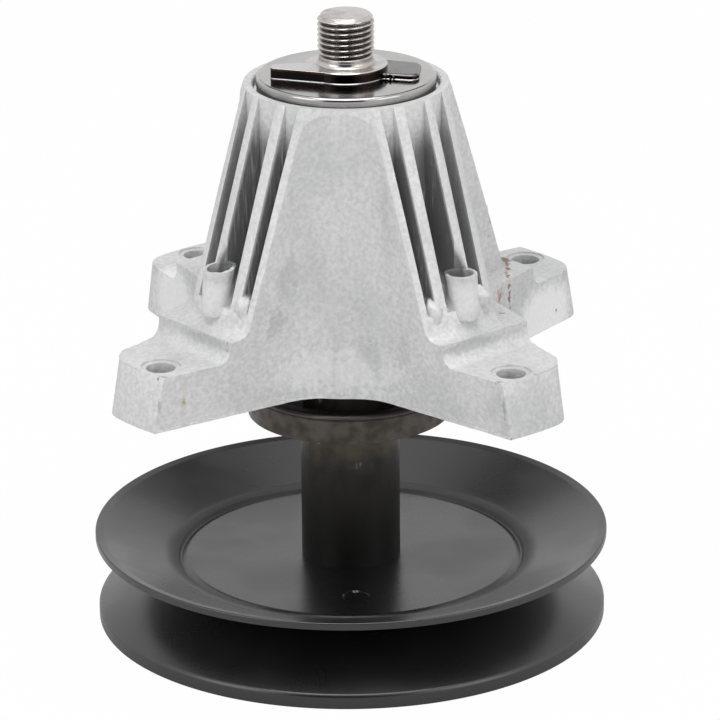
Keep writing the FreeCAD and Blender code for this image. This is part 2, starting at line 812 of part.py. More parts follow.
nodes = [
    make_housing(),
    make_shaft(),
    make_blade_side_shield(),
    make_spacer_tube(),
    make_pulley_side_shield(),
    make_sleeve(),
    make_pulley_upper_half(),
    make_pulley_lower_half(),
    make_pulley_nut(),
]
nodes += make_bearing("blade_bearing", blade_bearing_z)
nodes += make_bearing("pulley_bearing", pulley_bearing_z)

doc.recompute()
for item in doc.Objects:
    if "Invalid" in item.State or "Error" in item.State:
        raise RuntimeError(f"{item.Label} is {item.State}")
for node in nodes:
    if node.Shape.isNull() or not node.Shape.isValid():
        raise RuntimeError(f"{node.Label} has no valid shape")

os.makedirs("parts", exist_ok=True)
for node in nodes:
    node.Shape.exportStep(f"parts/{node.Label}.step")
    print(f"{node.Label}: {len(node.Shape.Solids)} solid(s), {node.Shape.Volume / 1000:.2f} cm3")
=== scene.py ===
import bmesh
import bpy
import json
import math
from mathutils import Matrix, Vector, noise


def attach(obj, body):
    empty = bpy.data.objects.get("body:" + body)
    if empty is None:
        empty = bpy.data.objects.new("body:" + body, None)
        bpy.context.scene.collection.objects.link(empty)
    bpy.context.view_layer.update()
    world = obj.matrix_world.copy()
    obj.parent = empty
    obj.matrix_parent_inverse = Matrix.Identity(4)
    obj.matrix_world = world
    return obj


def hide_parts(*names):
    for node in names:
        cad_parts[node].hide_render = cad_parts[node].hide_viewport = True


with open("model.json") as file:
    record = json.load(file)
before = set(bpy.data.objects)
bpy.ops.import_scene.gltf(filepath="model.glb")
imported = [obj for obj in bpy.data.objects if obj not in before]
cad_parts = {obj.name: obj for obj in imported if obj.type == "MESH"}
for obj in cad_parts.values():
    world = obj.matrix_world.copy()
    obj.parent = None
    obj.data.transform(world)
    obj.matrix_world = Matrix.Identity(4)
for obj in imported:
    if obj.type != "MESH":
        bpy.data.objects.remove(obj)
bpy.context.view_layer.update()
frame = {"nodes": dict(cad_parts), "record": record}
nodes = frame["nodes"]
mm = 0.001  # the dictionaries give lengths in millimetres
print("frame loaded:", len(nodes), "nodes")


# node helpers

def addNode(tree, kind, **settings):
    node = tree.nodes.new("ShaderNode" + kind)
    for key, value in settings.items():
        setattr(node, key, value)
    return node


def join(tree, source, target):
    tree.links.new(source, target)


def feed(tree, value, socket):  # an output is linked, a number or colour is set
    if hasattr(value, "is_linked"):
        join(tree, value, socket)
    elif isinstance(value, tuple) and len(value) == 3 and socket.type == "RGBA":
        socket.default_value = (*value, 1)
    else:
        socket.default_value = value


def newGroup(name, inputs, outputs):
    group = bpy.data.node_groups.new(name, "ShaderNodeTree")
    for label, kind, value in inputs:
        socket = group.interface.new_socket(label, in_out="INPUT", socket_type="NodeSocket" + kind)
        socket.default_value = value
    for label in outputs:
        group.interface.new_socket(label, in_out="OUTPUT", socket_type="NodeSocketFloat")
    return group, group.nodes.new("NodeGroupInput"), group.nodes.new("NodeGroupOutput")


def placeGroup(tree, group, **values):
    node = tree.nodes.new("ShaderNodeGroup")
    node.node_tree = group
    for key, value in values.items():
        node.inputs[key].default_value = value
    return node.outputs[0]


def mixColour(tree, mask, base, over):
    node = addNode(tree, "Mix", data_type="RGBA")
    feed(tree, mask, node.inputs[0])
    feed(tree, base, node.inputs[6])
    feed(tree, over, node.inputs[7])
    return node.outputs[2]


def mathNode(tree, operation, first, second=0.0):
    node = addNode(tree, "Math", operation=operation)
    feed(tree, first, node.inputs[0])
    feed(tree, second, node.inputs[1])
    return node.outputs[0]


def times(tree, *values):
    total = values[0]
    for value in values[1:]:
        total = mathNode(tree, "MULTIPLY", total, value)
    return total


def spread(tree, value, low, high, toLow=0.0, toHigh=1.0):
    node = addNode(tree, "MapRange", interpolation_type="SMOOTHSTEP")
    limits = {"Value": value, "From Min": low, "From Max": high, "To Min": toLow, "To Max": toHigh}
    for label, number in limits.items():
        feed(tree, number, node.inputs[label])
    return node.outputs["Result"]


def objectPlace(tree):  # the place, its x, y and z, and the distance from the spindle axis
    place = addNode(tree, "TexCoord")
    parts = addNode(tree, "SeparateXYZ")
    join(tree, place.outputs["Object"], parts.inputs[0])
    x, y, z = (parts.outputs[axis] for axis in "XYZ")
    flat = addNode(tree, "CombineXYZ")
    join(tree, x, flat.inputs["X"])
    join(tree, y, flat.inputs["Y"])
    away = addNode(tree, "VectorMath", operation="LENGTH")
    join(tree, flat.outputs[0], away.inputs[0])
    return {"place": place.outputs["Object"], "x": x, "y": y, "z": z, "away": away.outputs["Value"]}


# shared surface effects

def makePatches():  # soft patches, for stains, streaks and grain
    group, given, out = newGroup("patches", [
        ("Scale", "Float", 40.0), ("Stretch", "Vector", (1, 1, 1)), ("Seed", "Float", 0.0),
        ("Detail", "Float", 4.0), ("Low", "Float", 0.4), ("High", "Float", 0.65)], ["Mask"])
    place = addNode(group, "TexCoord")
    move = addNode(group, "VectorMath", operation="MULTIPLY")
    join(group, place.outputs["Object"], move.inputs[0])
    join(group, given.outputs["Stretch"], move.inputs[1])
    cloud = addNode(group, "TexNoise", noise_dimensions="4D")
    join(group, move.outputs[0], cloud.inputs["Vector"])
    for label, source in (("Scale", "Scale"), ("Detail", "Detail"), ("W", "Seed")):
        join(group, given.outputs[source], cloud.inputs[label])
    join(group, spread(group, cloud.outputs[0], given.outputs["Low"], given.outputs["High"]), out.inputs["Mask"])
    return group


def makeMark():  # one ragged mark, which may lean sideways as it rises
    group, given, out = newGroup("ragged mark", [
        ("Centre", "Vector", (0, 0, 0)), ("Size", "Vector", (0.01, 0.01, 0.01)), ("Lean", "Vector", (0, 0, 0)),
        ("Ragged", "Float", 0.5), ("Grain", "Float", 600.0)], ["Mask"])
    place = objectPlace(group)["place"]
    offset = addNode(group, "VectorMath", operation="SUBTRACT")
    join(group, place, offset.inputs[0])
    join(group, given.outputs["Centre"], offset.inputs[1])
    rise = addNode(group, "SeparateXYZ")
    join(group, offset.outputs[0], rise.inputs[0])
    drift = addNode(group, "VectorMath", operation="SCALE")
    join(group, given.outputs["Lean"], drift.inputs[0])
    join(group, rise.outputs["Z"], drift.inputs["Scale"])
    upright = addNode(group, "VectorMath", operation="SUBTRACT")
    join(group, offset.outputs[0], upright.inputs[0])
    join(group, drift.outputs[0], upright.inputs[1])
    shrink = addNode(group, "VectorMath", operation="DIVIDE")
    join(group, upright.outputs[0], shrink.inputs[0])
    join(group, given.outputs["Size"], shrink.inputs[1])
    far = addNode(group, "VectorMath", operation="LENGTH")
    join(group, shrink.outputs[0], far.inputs[0])
    rough = addNode(group, "TexNoise")
    rough.inputs["Detail"].default_value = 5
    join(group, place, rough.inputs["Vector"])
    join(group, given.outputs["Grain"], rough.inputs["Scale"])
    edge = times(group, mathNode(group, "SUBTRACT", rough.outputs[0], 0.5), 6.0, given.outputs["Ragged"])
    join(group, spread(group, mathNode(group, "ADD", far.outputs["Value"], edge), 1.0, 0.5), out.inputs["Mask"])
    return group


def makeBand():  # rises from 0 to 1 between two heights
    group, given, out = newGroup("height band", [
        ("Low", "Float", 0.0), ("High", "Float", 0.01), ("Ragged", "Float", 0.0)], ["Mask"])
    here = objectPlace(group)
    rough = addNode(group, "TexNoise")
    rough.inputs["Scale"].default_value = 220
    rough.inputs["Detail"].default_value = 4
    join(group, here["place"], rough.inputs["Vector"])
    shift = times(group, mathNode(group, "SUBTRACT", rough.outputs[0], 0.5), given.outputs["Ragged"])
    height = mathNode(group, "ADD", here["z"], shift)
    join(group, spread(group, height, given.outputs["Low"], given.outputs["High"]), out.inputs["Mask"])
    return group


def makeReach():  # rises from 0 to 1 between two distances from the axis
    group, given, out = newGroup("axis distance", [("Low", "Float", 0.0), ("High", "Float", 0.01)], ["Mask"])
    away = objectPlace(group)["away"]
    join(group, spread(group, away, given.outputs["Low"], given.outputs["High"]), out.inputs["Mask"])
    return group


def makeFacing():  # 1 where a surface looks up; it paints lit tops and shaded sides on the shaft's seat
    group, given, out = newGroup("lit top mask", [("Low", "Float", 0.5), ("High", "Float", 0.9)], ["Mask"])
    place = addNode(group, "TexCoord")
    parts = addNode(group, "SeparateXYZ")
    join(group, place.outputs["Normal"], parts.inputs[0])
    join(group, spread(group, parts.outputs["Z"], given.outputs["Low"], given.outputs["High"]), out.inputs["Mask"])
    return group


def makeTurned():  # fine lathe lines round the spindle axis
    group, given, out = newGroup("lathe lines", [("Spacing", "Float", 2500.0)], ["Height"])
    here = objectPlace(group)
    lines = addNode(group, "CombineXYZ")
    join(group, here["away"], lines.inputs["X"])
    join(group, here["z"], lines.inputs["Z"])
    grain = addNode(group, "TexNoise")
    grain.inputs["Detail"].default_value = 3
    join(group, lines.outputs[0], grain.inputs["Vector"])
    join(group, given.outputs["Spacing"], grain.inputs["Scale"])
    join(group, grain.outputs[0], out.inputs["Height"])
    return group


leg = {
    "tube": 25.8, "top": 142.5, "slope": 0.3172, "frontPlate": 10.88, "sidePlate": 12.18, "taper": 0.045,
    "footLevel": 92.5, "footReach": 39.8, "footSlope": 0.5, "slotTop": 139.0, "slotFull": 128.0,
    # each mask rises from 0 to 1 by depth under the crests, room beside the plates and height over the foot
    # the slot mask paints shade into the slots, and the crest mask paints a highlight on the rib crests
    "slots": [(0.2, 1.1), (-0.4, 0.4), (0.5, 3.5)],
    "crests": [(1.2, 0.2), (-3.0, -1.5), (-1.0, 4.0)],
}


def makeSlots(name, rises, fadesOut=False):  # painted shade in the slots between the ribs of a leg, and likewise the painted highlight on the crests of the ribs
    group, given, out = newGroup(name, [], ["Mask"])
    here = objectPlace(group)
    z, away = here["z"], here["away"]
    x, y = (mathNode(group, "ABSOLUTE", here[axis]) for axis in "xy")
    diagonal = math.sqrt(0.5)
    outward = times(group, mathNode(group, "ADD", x, y), diagonal)
    across = times(group, mathNode(group, "SUBTRACT", y, x), diagonal)
    drop = times(group, mathNode(group, "SUBTRACT", leg["top"] * mm, z), leg["slope"])
    depth = mathNode(group, "SUBTRACT", mathNode(group, "ADD", drop, leg["tube"] * mm), away)
    narrow = times(group, outward, leg["taper"])
    side = mathNode(group, "ADD", mathNode(group, "SUBTRACT", leg["sidePlate"] * mm, narrow), across)
    front = mathNode(group, "SUBTRACT", mathNode(group, "SUBTRACT", leg["frontPlate"] * mm, narrow), across)
    room = mathNode(group, "MINIMUM", side, front)
    ramp = times(group, mathNode(group, "SUBTRACT", leg["footReach"] * mm, away), leg["footSlope"])
    above = mathNode(group, "SUBTRACT", mathNode(group, "SUBTRACT", z, leg["footLevel"] * mm), ramp)
    masks = [spread(group, value, low * mm, high * mm) for value, (low, high) in zip((depth, room, above), rises)]
    if fadesOut:
        masks.append(spread(group, z, leg["slotTop"] * mm, leg["slotFull"] * mm))
    join(group, times(group, *masks), out.inputs["Mask"])
    return group


patches, raggedMark, heightBand, axisReach = makePatches(), makeMark(), makeBand(), makeReach()
litTopMask, latheLines = makeFacing(), makeTurned()
legSlotShade, ribCrestHighlight = makeSlots("leg slot shade", leg["slots"], True), makeSlots("rib crest highlight", leg["crests"])
print("surface effects ready")


# finishes

def startMaterial(name, metallic, roughness):
    material = bpy.data.materials.new(name)
    material.use_nodes = True
    tree = material.node_tree
    shader = tree.nodes["Principled BSDF"]
    shader.inputs["Metallic"].default_value = metallic
    shader.inputs["Roughness"].default_value = roughness
    return material, tree, shader


def riseMask(tree, group, low, high, **more):  # a height band or axis distance, given in millimetres
    return placeGroup(tree, group, Low=low * mm, High=high * mm, **more)


def addBump(tree, shader, height, strength, distance):
    bump = addNode(tree, "Bump")
    bump.inputs["Strength"].default_value = strength
    bump.inputs["Distance"].default_value = distance
    join(tree, height, bump.inputs["Height"])
    join(tree, bump.outputs[0], shader.inputs["Normal"])


castFinish = {
    # the darker mottle tone is random, and it is also painted shade in the step, ear end and panel marks
    "pale": (0.655, 0.655, 0.652), "grey": (0.565, 0.567, 0.571), "dull": (0.33, 0.333, 0.338),
    # the slot tone is painted shade deep in the slots between the ribs; the whitest tone is random bright grain and
    # also the painted highlight on the rib crests
    "white": (0.70, 0.70, 0.695), "slot": (0.17, 0.171, 0.175), "drag": (0.46, 0.46, 0.46),
    # the darkest tone paints shade in holes, on the boss tops and along the front ear creases, and also some short
    # dark marks
    "rust": (0.15, 0.055, 0.025), "tan": (0.42, 0.32, 0.24), "soot": (0.07, 0.07, 0.072),
    # the palest tone is painted light: paler patches where the back ears, the lower front panel and the front
    # bosses catch more light
    "bare": (0.88, 0.88, 0.885),
    # the crest and slot shares set how strong the painted crest highlight and the painted slot shade are
    "flowShare": 0.36, "fineShare": 0.34, "brightShare": 0.25, "crestHighlightShare": 0.2, "slotShadeShare": 0.96,
    "metallic": 0.3, "smoothest": 0.5, "roughest": 0.64, "bump": 0.4, "bumpDepth": 0.15,
    "markGrain": 600.0, "rustGrain": 1500.0,
    # colour, share, centre, size, ragged and, where it leans, the way in x and y per height
    "marks": [
        # painted light: paler patches on the back ear sides, the lower front panel and the front bosses
        ("bare", 0.75, (49.0, 25.0, 72.0), (17.0, 15.0, 11.0), 0.1),
        ("bare", 0.6, (-47.0, 22.0, 75.0), (17.0, 15.0, 13.0), 0.1),
        ("bare", 0.3, (0.0, -30.5, 75.0), (22.0, 8.0, 8.0), 0.3),
        ("bare", 0.35, (-30.6, -27.0, 94.5), (8.0, 8.0, 7.0), 0.1),
        ("bare", 0.35, (30.6, -27.0, 94.5), (8.0, 8.0, 7.0), 0.1),
        # painted shade on the steps beside the front bosses and at the right front ear end
        ("dull", 0.35, (-33.0, -33.4, 85.0), (11.0, 11.0, 2.0), 0.2),
        ("dull", 0.4, (33.0, -33.4, 85.0), (11.0, 11.0, 2.0), 0.2),
        ("dull", 0.25, (47.5, -49.0, 75.0), (12.0, 12.0, 9.0), 0.2),
        # painted shade in and round the blind holes of the front bosses
        ("soot", 0.5, (-29.98, -26.3, 99.9), (4.7, 4.7, 3.4), 0.1),
        ("soot", 0.5, (29.98, -26.3, 99.9), (4.7, 4.7, 3.4), 0.1),
        ("rust", 0.8, (40.2, 10.8, 85.2), (0.7, 0.7, 0.9), 0.5),
        ("rust", 0.7, (40.6, 11.0, 83.2), (0.6, 0.6, 0.7), 0.5),
        ("rust", 0.8, (40.3, 10.9, 81.2), (0.6, 0.6, 1.2), 0.6),
        ("rust", 0.6, (40.7, 11.1, 78.9), (0.5, 0.5, 0.7), 0.5),
        ("rust", 0.85, (38.6, 26.0, 86.8), (1.8, 3.6, 1.2), 0.5),
        ("rust", 0.7, (39.2, 22.3, 86.8), (0.7, 1.9, 1.0), 0.5),
        ("rust", 0.8, (39.7, 18.9, 86.8), (0.8, 2.2, 1.0), 0.5),
        ("rust", 0.6, (39.3, 16.0, 86.8), (0.5, 1.4, 1.0), 0.5),
        ("rust", 0.7, (39.9, 13.4, 86.8), (0.6, 1.7, 1.0), 0.5),
        ("tan", 0.6, (38.1, 7.0, 83.6), (1.2, 1.2, 2.4), 1.0),
        ("rust", 0.5, (38.0, 6.9, 83.4), (0.6, 0.6, 1.2), 1.0),
        ("tan", 0.6, (34.6, 16.6, 98.5), (0.7, 0.8, 4.5), 0.8),
        ("rust", 0.7, (51.8, 29.5, 72.0), (0.6, 0.6, 0.7), 0.4),
        ("rust", 0.45, (-37.0, -49.0, 74.3), (0.6, 0.6, 0.8), 0.5),
        ("tan", 0.2, (-37.2, -48.9, 77.0), (0.8, 0.8, 4.0), 0.9),
        # painted shade along the front ear creases
        ("soot", 0.35, (-42.7, -52.9, 75.0), (0.5, 0.7, 7.4), 0.5, (-0.09, -0.24)),
        ("soot", 0.35, (41.9, -52.8, 75.0), (0.5, 0.7, 7.4), 0.5, (-0.12, -0.12)),
        # short dark marks
        ("soot", 0.8, (-41.9, -50.9, 81.3), (1.3, 0.5, 0.6), 0.6),
        ("soot", 0.8, (40.4, -50.7, 81.3), (1.2, 0.5, 0.6), 0.6),
        ("soot", 0.5, (-27.0, -39.5, 85.9), (0.35, 0.5, 0.7), 1.0),
        ("soot", 0.4, (-26.9, -39.6, 84.2), (0.3, 0.5, 0.5), 1.0),
        ("soot", 0.6, (39.7, -15.1, 86.8), (1.0, 0.5, 0.6), 0.6),
        # painted shade in the ear holes
        ("soot", 0.5, (-43.2, -43.2, 75.0), (6.0, 6.0, 7.2), 0.1),
        ("soot", 0.5, (43.2, -43.2, 75.0), (6.0, 6.0, 7.2), 0.1),
        ("soot", 0.5, (43.2, 43.2, 75.0), (6.0, 6.0, 7.2), 0.1),
        # painted shade: darker vertical zones on the front panel
        ("dull", 0.3, (-12.6, -29.6, 100.5), (4.0, 4.0, 7.0), 0.35, (0.15, 0.1)),
        ("dull", 0.4, (-15.8, -32.3, 89.0), (3.0, 3.0, 4.5), 0.5, (0.2, 0.1)),
        ("dull", 0.35, (8.0, -27.7, 79.0), (3.5, 3.0, 6.0), 0.5, (-0.4, 0)),
    ],
}


def castAluminium():
    material, tree, shader = startMaterial("castAluminium", castFinish["metallic"], 0.55)
    cloud = placeGroup(tree, patches, Scale=34.0, Low=0.4, High=0.68, Seed=2.0)
    fine = placeGroup(tree, patches, Scale=900.0, Low=0.3, High=0.7, Detail=4.0)
    flow = placeGroup(tree, patches, Scale=110.0, Stretch=(1.0, 1.0, 0.2), Low=0.5, High=0.78, Seed=4.0)
    bright = placeGroup(tree, patches, Scale=900.0, Low=0.6, High=0.75, Detail=1.0, Seed=7.0)
    streak = placeGroup(tree, patches, Scale=1300.0, Stretch=(1.0, 1.0, 0.07), Low=0.48, High=0.72, Seed=9.0)
    worn = placeGroup(tree, patches, Scale=70.0, Low=0.42, High=0.56, Seed=11.0)
    colour = mixColour(tree, cloud, castFinish["pale"], castFinish["grey"])
    colour = mixColour(tree, times(tree, flow, castFinish["flowShare"]), colour, castFinish["dull"])
    colour = mixColour(tree, times(tree, fine, castFinish["fineShare"]), colour, castFinish["dull"])
    colour = mixColour(tree, times(tree, bright, castFinish["brightShare"]), colour, castFinish["white"])
    # painted highlight on the rib crests
    crest = times(tree, placeGroup(tree, ribCrestHighlight), castFinish["crestHighlightShare"])
    colour = mixColour(tree, crest, colour, castFinish["white"])
    # painted shade in the slots between the ribs, with real drag streaks and wear in it
    slot = mixColour(tree, times(tree, streak, worn), castFinish["slot"], castFinish["drag"])
    inSlotShade = times(tree, placeGroup(tree, legSlotShade), castFinish["slotShadeShare"])
    colour = mixColour(tree, inSlotShade, colour, slot)
    for tone, share, centre, size, ragged, *lean in castFinish["marks"]:
        mark = placeGroup(tree, raggedMark, Centre=[v * mm for v in centre], Size=[v * mm for v in size],
                          Lean=(*lean[0], 0) if lean else (0, 0, 0), Ragged=ragged,
                          Grain=castFinish["rustGrain" if tone == "rust" else "markGrain"])
        colour = mixColour(tree, times(tree, mark, share), colour, castFinish[tone])
    join(tree, colour, shader.inputs["Base Color"])
    rough = spread(tree, fine, 0.0, 1.0, castFinish["smoothest"], castFinish["roughest"])
    join(tree, rough, shader.inputs["Roughness"])
    addBump(tree, shader, fine, castFinish["bump"], castFinish["bumpDepth"] * mm)
    return material


shaftFinish = {
    # faces that look up are painted lit and the seat's sides painted shaded near black; the reddish-brown scale on
    # the side edge is real
    "steel": (0.53, 0.51, 0.49), "tint": (0.38, 0.335, 0.30), "litSeatTop": (0.55, 0.535, 0.52),
    "side": (0.014, 0.011, 0.010), "scale": (0.09, 0.045, 0.03), "lowWing": (0.155, 0.15, 0.15),
    # the root tone is painted shade in the thread roots
    "threadRootShade": (0.085, 0.076, 0.07), "lip": (0.42, 0.41, 0.40), "lipLevel": 144.75, "seatLevel": 147.3,
    "lowLevel": 145.9, "threadFoot": 6.35, "threadCrest": 6.95, "endLevel": 158.3,
}


def shaftSteel():
    material, tree, shader = startMaterial("shaftSteel", 1.0, 0.3)
    level, low = shaftFinish["seatLevel"], shaftFinish["lowLevel"]
    lines = placeGroup(tree, latheLines, Spacing=1800.0)
    stain = placeGroup(tree, patches, Scale=160.0, Low=0.45, High=0.7)
    # painted light: faces that look up get the lit top tones, the others the shaded side tone
    up = placeGroup(tree, litTopMask, Low=0.35, High=0.75)
    lip, tip = shaftFinish["lipLevel"], shaftFinish["endLevel"]
    aboveSeat = riseMask(tree, heightBand, level + 0.05, level + 0.3)
    aboveLow = riseMask(tree, heightBand, low + 0.2, low + 0.6)
    aboveLip = riseMask(tree, heightBand, lip, lip + 0.1)
    edge = riseMask(tree, heightBand, level - 0.9, level - 0.2, Ragged=0.0012)
    crest = riseMask(tree, axisReach, shaftFinish["threadFoot"], shaftFinish["threadCrest"])
    end = riseMask(tree, heightBand, tip, tip + 0.4)
    top = mixColour(tree, aboveLow, shaftFinish["lowWing"], shaftFinish["litSeatTop"])
    top = mixColour(tree, aboveLip, shaftFinish["lip"], top)
    side = mixColour(tree, times(tree, edge, 0.9), shaftFinish["side"], shaftFinish["scale"])
    seat = mixColour(tree, up, side, top)
    steel = mixColour(tree, times(tree, stain, 0.5), shaftFinish["steel"], shaftFinish["tint"])
    # painted shade in the thread roots
    steel = mixColour(tree, mathNode(tree, "MAXIMUM", crest, end), shaftFinish["threadRootShade"], steel)
    join(tree, mixColour(tree, aboveSeat, seat, steel), shader.inputs["Base Color"])
    join(tree, spread(tree, stain, 0.0, 1.0, 0.2, 0.34), shader.inputs["Roughness"])
    addBump(tree, shader, lines, 0.12, 0.0001)
    return material


def turnedSteel(name, colour, tint, roughness, relief):
    material, tree, shader = startMaterial(name, 1.0, roughness)
    lines = placeGroup(tree, latheLines, Spacing=1500.0)
    stain = placeGroup(tree, patches, Scale=90.0, Low=0.4, High=0.7)
    join(tree, mixColour(tree, stain, colour, tint), shader.inputs["Base Color"])
    join(tree, spread(tree, lines, 0.3, 0.7, roughness * 0.8, roughness * 1.25), shader.inputs["Roughness"])
    addBump(tree, shader, lines, relief, 0.0001)
    return material


# the rim tone is a painted highlight on the rim's edge
cupFinish = {"wall": (0.10, 0.091, 0.08), "stain": (0.067, 0.06, 0.053), "rim": (0.12, 0.11, 0.10),
             # the inside tone is painted shade inside the cup
             "line": (0.03, 0.028, 0.026), "inside": (0.012, 0.012, 0.012),
             "rimLevel": 61.5, "lineLevel": 60.9, "insideReach": 22.9}


def cupSteel():
    material, tree, shader = startMaterial("cupSteel", 1.0, 0.42)
    lines = placeGroup(tree, latheLines, Spacing=1300.0)
    stain = placeGroup(tree, patches, Scale=260.0, Low=0.36, High=0.68)
    rimLevel, lineLevel, inside = (cupFinish[key] for key in ("rimLevel", "lineLevel", "insideReach"))
    # painted highlight on the rim's edge
    rim = riseMask(tree, heightBand, rimLevel, rimLevel + 0.2)
    line = riseMask(tree, heightBand, lineLevel, lineLevel + 0.25)
    # painted shade inside the cup
    outside = riseMask(tree, axisReach, inside - 0.3, inside)
    colour = mixColour(tree, stain, cupFinish["wall"], cupFinish["stain"])
    colour = mixColour(tree, times(tree, line, 0.75), colour, cupFinish["line"])
    colour = mixColour(tree, rim, colour, cupFinish["rim"])
    join(tree, mixColour(tree, outside, cupFinish["inside"], colour), shader.inputs["Base Color"])
    join(tree, spread(tree, stain, 0.0, 1.0, 0.36, 0.5), shader.inputs["Roughness"])
    addBump(tree, shader, lines, 0.15, 0.0001)
    return material


sleeveFinish = {"black": (0.007, 0.007, 0.0065), "grey": (0.028, 0.026, 0.023), "brown": (0.108, 0.09, 0.067),
                "scratch": (0.42, 0.38, 0.33), "brownFrom": 41.0, "brownTo": 52.0, "greyFrom": 18.0, "greyTo": 44.0}


def blackOxide():
    material, tree, shader = startMaterial("blackOxide", 0.45, 0.5)
    stain = placeGroup(tree, patches, Scale=190.0, Stretch=(1.0, 1.0, 0.6), Low=0.4, High=0.7)
    fade = riseMask(tree, heightBand, sleeveFinish["greyFrom"], sleeveFinish["greyTo"], Ragged=0.004)
    top = riseMask(tree, heightBand, sleeveFinish["brownFrom"], sleeveFinish["brownTo"], Ragged=0.008)
    scratch = placeGroup(tree, patches, Scale=520.0, Stretch=(1.0, 1.0, 0.4), Low=0.64, High=0.69, Detail=6.0)
    colour = mixColour(tree, fade, sleeveFinish["black"], sleeveFinish["grey"])
    colour = mixColour(tree, top, colour, sleeveFinish["brown"])
    colour = mixColour(tree, times(tree, stain, 0.45), colour, sleeveFinish["black"])
    colour = mixColour(tree, times(tree, scratch, top), colour, sleeveFinish["scratch"])
    join(tree, colour, shader.inputs["Base Color"])
    join(tree, spread(tree, stain, 0.0, 1.0, 0.44, 0.56), shader.inputs["Roughness"])
    addBump(tree, shader, stain, 0.08, 0.0001)
    return material


paintFinish = {"black": (0.003, 0.003, 0.0032), "dust": (0.05, 0.05, 0.05), "dustShare": 0.6, "specular": 0.85,
               "creaseFrom": 43.2, "creaseDull": 45.0, "creaseTo": 49.0, "creaseRough": 0.3}


def blackPaint():
    material, tree, shader = startMaterial("blackPaint", 0.0, 0.32)
    shader.inputs["Specular IOR Level"].default_value = paintFinish["specular"]
    orange = placeGroup(tree, patches, Scale=700.0, Low=0.3, High=0.7, Detail=1.0)
    dust = placeGroup(tree, patches, Scale=1500.0, Low=0.75, High=0.79, Detail=1.0, Seed=12.0)
    haze = placeGroup(tree, patches, Scale=45.0, Low=0.35, High=0.7, Seed=5.0)
    colour = mixColour(tree, times(tree, dust, paintFinish["dustShare"]), paintFinish["black"], paintFinish["dust"])
    join(tree, colour, shader.inputs["Base Color"])
    gloss = spread(tree, haze, 0.0, 1.0, 0.27, 0.34)
    into = riseMask(tree, axisReach, paintFinish["creaseFrom"], paintFinish["creaseDull"])
    past = riseMask(tree, axisReach, paintFinish["creaseDull"], paintFinish["creaseTo"])
    crease = mathNode(tree, "SUBTRACT", into, past)
    dull = times(tree, crease, paintFinish["creaseRough"])  # the paint is dull in the crease
    join(tree, mathNode(tree, "ADD", gloss, dull), shader.inputs["Roughness"])
    addBump(tree, shader, orange, 0.03, 0.0001)
    return material


def plainSurface(name, colour, tint, metallic, roughness):
    material, tree, shader = startMaterial(name, metallic, roughness)
    stain = placeGroup(tree, patches, Scale=200.0, Low=0.4, High=0.7)
    join(tree, mixColour(tree, stain, colour, tint), shader.inputs["Base Color"])
    join(tree, spread(tree, stain, 0.0, 1.0, roughness, roughness + 0.1), shader.inputs["Roughness"])
    return material


finishes = {
    "cast_aluminium": castAluminium(),
    "shaft_steel": shaftSteel(),
    "shield_steel": turnedSteel("shieldSteel", (0.43, 0.425, 0.42), (0.36, 0.355, 0.35), 0.13, 0.02),
    "cup_steel": cupSteel(),
    "black_oxide_steel": blackOxide(),
    "pulley_paint": blackPaint(),
    "nut_steel": plainSurface("zincPlate", (0.55, 0.54, 0.50), (0.42, 0.41, 0.37), 1.0, 0.32),
    "bearing_steel": plainSurface("bearingSteel", (0.62, 0.62, 0.62), (0.5, 0.5, 0.5), 1.0, 0.18),
    "cage_steel": plainSurface("cageSteel", (0.55, 0.54, 0.5), (0.4, 0.4, 0.38), 1.0, 0.35),
    "seal_rubber": plainSurface("sealRubber", (0.02, 0.02, 0.02), (0.03, 0.03, 0.03), 0.0, 0.6),
}
for subpart in frame["record"]["subparts"]:
    piece = nodes[subpart["node"]]
    piece.data.materials.clear()
    piece.data.materials.append(finishes[subpart["material_slot"]])
print("finishes laid on the frame")


# mesh helpers

def addPiece(name, mesh, body, slot, sharp=35):
    piece = bpy.data.objects.new(name, mesh)
    bpy.context.scene.collection.objects.link(piece)
    mesh.materials.append(finishes[slot])
    mesh.polygons.foreach_set("use_smooth", [True] * len(mesh.polygons))
    mesh.set_sharp_from_angle(angle=math.radians(sharp))
    even = piece.modifiers.new("evenFaces", "WEIGHTED_NORMAL")
    even.keep_sharp = True
    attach(piece, body)
    return piece


def toMesh(bm, name):
    bmesh.ops.recalc_face_normals(bm, faces=bm.faces)
    mesh = bpy.data.meshes.new(name)
    bm.to_mesh(mesh)
    bm.free()
    return mesh


def bridge(bm, first, second):
    for i in range(len(first)):
        j = (i + 1) % len(first)
        bm.faces.new((first[i], first[j], second[j], second[i]))


def arc(centre, radius, start, end, steps):  # points of an arc in the (radius, height) plane, angles in degrees
    turns = [math.radians(start + (end - start) * i / steps) for i in range(steps + 1)]
    return [(centre[0] + radius * math.cos(a), centre[1] + radius * math.sin(a)) for a in turns]


def rounded(outline, steps=4):  # corners given as (x, y, radius) become arcs
    points = []
    for i, corner in enumerate(outline):
        here = Vector(corner[:2])
        if len(corner) == 2:
            points.append(here)
            continue
        before = (Vector(outline[i - 1][:2]) - here).normalized()
        after = (Vector(outline[(i + 1) % len(outline)][:2]) - here).normalized()
        half = before.angle(after) / 2
        centre = here + (before + after).normalized() * (corner[2] / math.sin(half))
        spokes = [here + way * (corner[2] / math.tan(half)) - centre for way in (before, after)]
        points += [centre + spokes[0].lerp(spokes[1], k / steps).normalized() * corner[2] for k in range(steps + 1)]
    return points


